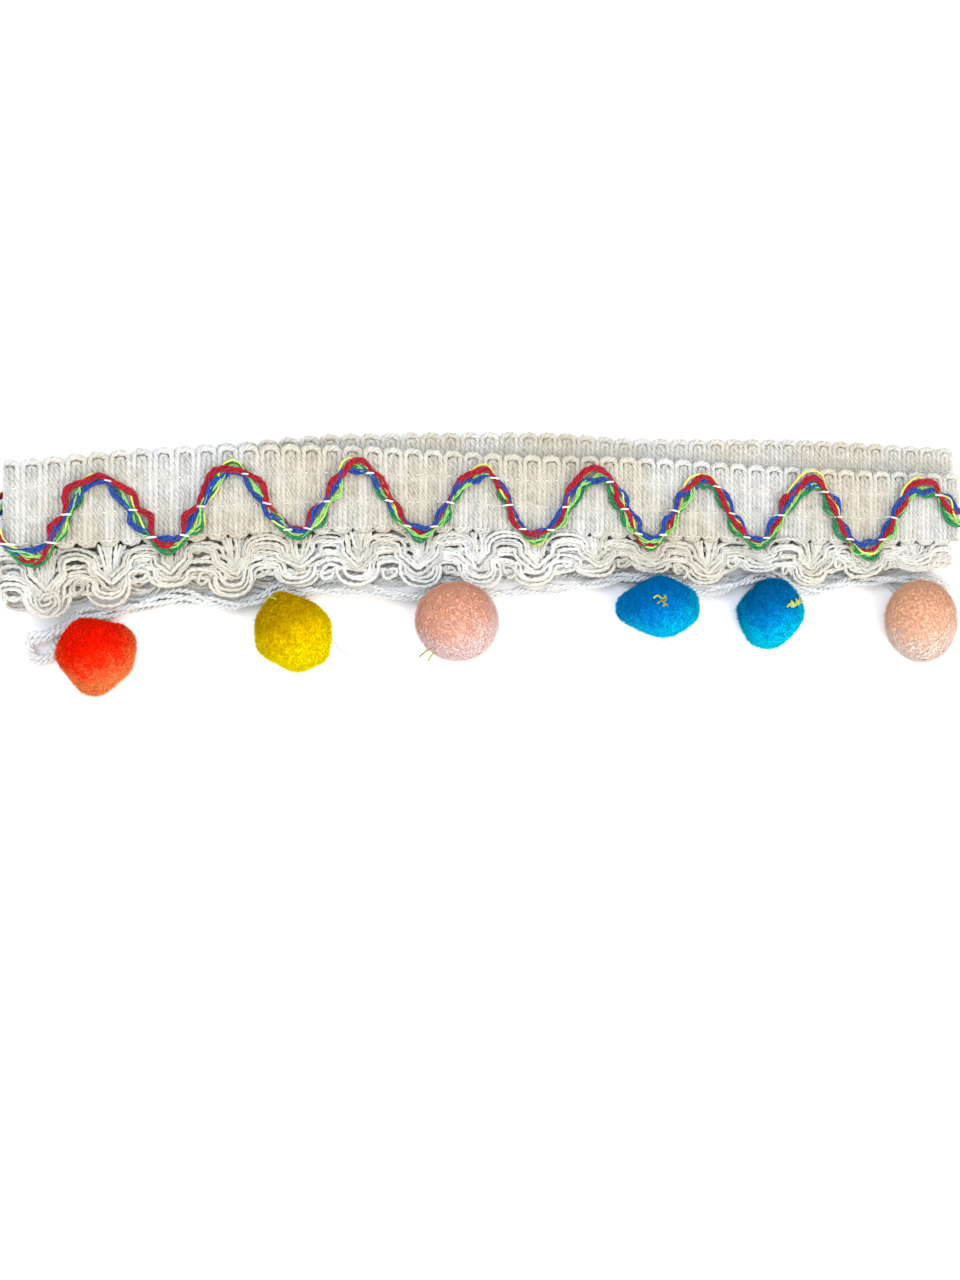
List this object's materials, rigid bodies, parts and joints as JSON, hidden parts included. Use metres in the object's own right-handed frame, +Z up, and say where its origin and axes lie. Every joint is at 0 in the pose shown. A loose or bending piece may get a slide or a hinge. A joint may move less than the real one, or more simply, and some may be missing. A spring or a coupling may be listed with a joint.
{
  "type": "pom pom trim",
  "caption": "Length of cotton trim folded back once: ribbed picot band, wavy multicolour braid, scroll fringe and pompoms.",
  "frame": {"origin": "centre of the trim's outline, on the surface that it lies on", "axes": "+X along the trim from its fold to its cut ends, +Y from the pompoms to the picot edge, +Z up off the surface"},
  "size_m": [0.2106, 0.056, 0.015],
  "materials": {
    "cotton_band": "matt",
    "braid_threads": "satin",
    "cotton_gimp": "matt",
    "pile_orange": "matt",
    "pile_yellow": "matt",
    "pile_pink": "matt",
    "pile_blue": "matt",
    "pile_peach": "matt"
  },
  "bodies": {
    "root": {"band": "cotton_band", "wavy_braid": "braid_threads", "scroll_fringe": "cotton_gimp", "edge_cord": "cotton_gimp", "pompom_orange": "pile_orange", "pompom_yellow": "pile_yellow", "pompom_pink": "pile_pink", "pompom_blue_left": "pile_blue", "pompom_blue_right": "pile_blue", "pompom_peach": "pile_peach"}
  },
  "joints": []
}
